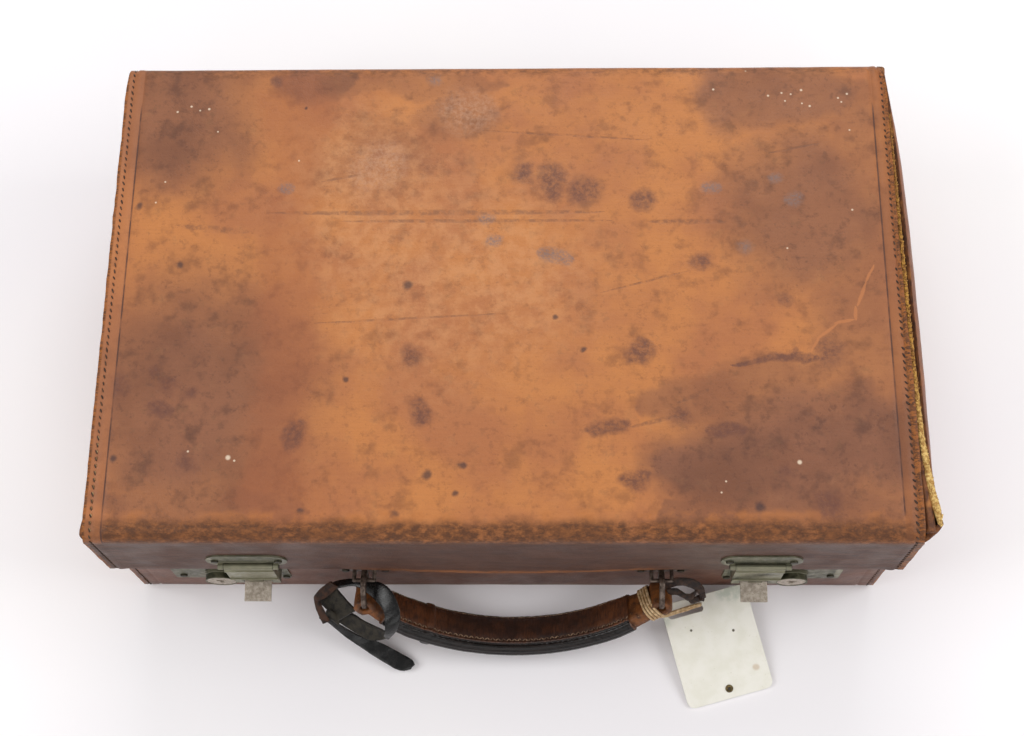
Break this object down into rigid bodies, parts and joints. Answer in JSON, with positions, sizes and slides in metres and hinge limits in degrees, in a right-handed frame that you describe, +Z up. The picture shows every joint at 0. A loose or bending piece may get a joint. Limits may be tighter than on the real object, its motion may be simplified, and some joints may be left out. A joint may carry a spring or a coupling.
{
  "type": "leather suitcase",
  "caption": "Worn brown leather suitcase with a box lid, two hasp locks, a drooping stitched handle, a black strap on one ring and a blank swing tag",
  "frame": {"origin": "the centre of the case's flat underside, on the surface it lies on; the handle, strap and tag reach out beyond the front, so it is not the centre of the whole box", "axes": "+X along the case's length to the right seen from the locks, -Y the side with locks and handle, +Z up through the lid"},
  "size_m": [0.521, 0.4099, 0.146],
  "materials": {
    "case_leather": "satin",
    "grip_leather": "satin",
    "tan_leather": "matte",
    "black_leather": "gloss",
    "lining_cloth": "matte",
    "stiffener_board": "matte",
    "welt_fibre": "matte",
    "tarnished_nickel": "satin",
    "grey_steel": "satin",
    "old_brass": "satin",
    "tag_card": "matte",
    "tag_thong": "matte"
  },
  "bodies": {
    "base": {"base_board": "stiffener_board", "base_end_left": "case_leather", "base_end_right": "case_leather", "base_hide": "case_leather", "base_lining": "lining_cloth", "handle_staple_left": "grey_steel", "handle_staple_right": "grey_steel", "hinge_base_leaf_left": "grey_steel", "hinge_base_leaf_right": "grey_steel", "hinge_base_rivets": "grey_steel", "hinge_pin_left": "grey_steel", "hinge_pin_right": "grey_steel", "key_collar_left": "tarnished_nickel", "key_collar_right": "tarnished_nickel", "lever_pin_left": "grey_steel", "lever_pin_right": "grey_steel", "lever_spring_left": "grey_steel", "lever_spring_right": "grey_steel", "lock_case_left": "grey_steel", "lock_case_right": "grey_steel", "lock_plate_left": "tarnished_nickel", "lock_plate_right": "tarnished_nickel", "lock_rivets_left": "tarnished_nickel", "lock_rivets_right": "tarnished_nickel", "staple_rivets": "grey_steel"},
    "handle": {"handle_core": "tan_leather", "handle_grip": "grip_leather", "tag_thong": "tag_thong"},
    "handle_ring_left": {"handle_ring_left": "grey_steel"},
    "handle_ring_right": {"handle_ring_right": "grey_steel", "torn_strap": "tan_leather"},
    "hasp_left": {"hasp_left": "tarnished_nickel"},
    "lid": {"hasp_pin_left": "grey_steel", "hasp_pin_right": "grey_steel", "hinge_lid_leaf_left": "grey_steel", "hinge_lid_leaf_right": "grey_steel", "hinge_lid_rivets": "grey_steel", "lid_board": "stiffener_board", "lid_end_left": "case_leather", "lid_end_right": "case_leather", "lid_hide": "case_leather", "lid_lining": "lining_cloth", "lid_plate_left": "tarnished_nickel", "lid_plate_right": "tarnished_nickel", "lid_plate_rivets": "tarnished_nickel", "lid_welt_right": "welt_fibre"},
    "hasp_right": {"hasp_right": "tarnished_nickel"},
    "key_plug_left": {"key_plug_left": "tarnished_nickel"},
    "key_plug_right": {"key_plug_right": "tarnished_nickel"},
    "lock_bolt_left": {"lock_bolt_left": "grey_steel"},
    "lock_bolt_right": {"lock_bolt_right": "grey_steel"},
    "luggage_strap": {"luggage_strap": "black_leather", "strap_keeper": "tan_leather"},
    "tag": {"tag_card": "tag_card", "tag_eyelet": "old_brass"},
    "thumb_lever_left": {"thumb_lever_left": "grey_steel"},
    "thumb_lever_right": {"thumb_lever_right": "grey_steel"}
  },
  "joints": [
    {"name": "lid_hinge", "type": "hinge", "parent": "base", "child": "lid", "pos_m": [0, 0.1669, 0.074], "axis": [-1, 0, 0], "range_deg": [0, 175]},
    {"name": "hasp_left_swing", "type": "hinge", "parent": "lid", "child": "hasp_left", "pos_m": [-0.1615, -0.1665, 0.091], "axis": [-1, 0, 0], "range_deg": [0, 105]},
    {"name": "thumb_lever_left_lift", "type": "hinge", "parent": "base", "child": "thumb_lever_left", "pos_m": [-0.1615, -0.1636, 0.052], "axis": [-1, 0, 0], "range_deg": [0, 20], "stiffness_Nm_per_rad": 0.02, "springref_deg": -11.46},
    {"name": "key_left_turn", "type": "hinge", "parent": "base", "child": "key_plug_left", "pos_m": [-0.1869, -0.163, 0.046], "axis": [0, 1, 0], "range_deg": [0, 90]},
    {"name": "bolt_left_slide", "type": "slide", "parent": "base", "child": "lock_bolt_left", "axis": [1, 0, 0], "range_m": [0, 0.005]},
    {"name": "hasp_right_swing", "type": "hinge", "parent": "lid", "child": "hasp_right", "pos_m": [0.1615, -0.1665, 0.091], "axis": [-1, 0, 0], "range_deg": [0, 105]},
    {"name": "thumb_lever_right_lift", "type": "hinge", "parent": "base", "child": "thumb_lever_right", "pos_m": [0.1615, -0.1636, 0.052], "axis": [-1, 0, 0], "range_deg": [0, 20], "stiffness_Nm_per_rad": 0.02, "springref_deg": -11.46},
    {"name": "key_right_turn", "type": "hinge", "parent": "base", "child": "key_plug_right", "pos_m": [0.1869, -0.163, 0.046], "axis": [0, -1, 0], "range_deg": [0, 90]},
    {"name": "bolt_right_slide", "type": "slide", "parent": "base", "child": "lock_bolt_right", "axis": [-1, 0, 0], "range_m": [0, 0.005]},
    {"name": "ring_left_swing", "type": "hinge", "parent": "base", "child": "handle_ring_left", "pos_m": [-0.0915, -0.1676, 0.058], "axis": [-1, 0, 0], "range_deg": [0, 80]},
    {"name": "ring_right_swing", "type": "hinge", "parent": "base", "child": "handle_ring_right", "pos_m": [0.1015, -0.1676, 0.058], "axis": [-1, 0, 0], "range_deg": [0, 80]},
    {"name": "handle_swing", "type": "hinge", "parent": "handle_ring_left", "child": "handle", "pos_m": [-0.0915, -0.1753, 0.04466], "axis": [-1, 0, 0], "range_deg": [-1, 1]},
    {"name": "strap_swing", "type": "hinge", "parent": "handle_ring_left", "child": "luggage_strap", "pos_m": [-0.0915, -0.1706, 0.0528], "axis": [-1, 0, 0], "range_deg": [0, 3]},
    {"name": "tag_swing", "type": "hinge", "parent": "handle", "child": "tag", "pos_m": [0.1292, -0.1736, 0.013], "axis": [-0.9636, -0.2672, 0], "range_deg": [0, 8]}
  ],
  "couplings": [
    {"joint": "ring_right_swing", "follows": "ring_left_swing", "ratio": 1},
    {"joint": "bolt_left_slide", "follows": "key_left_turn", "m_per_rad": 0.0031828},
    {"joint": "bolt_right_slide", "follows": "key_right_turn", "m_per_rad": 0.0031828}
  ]
}
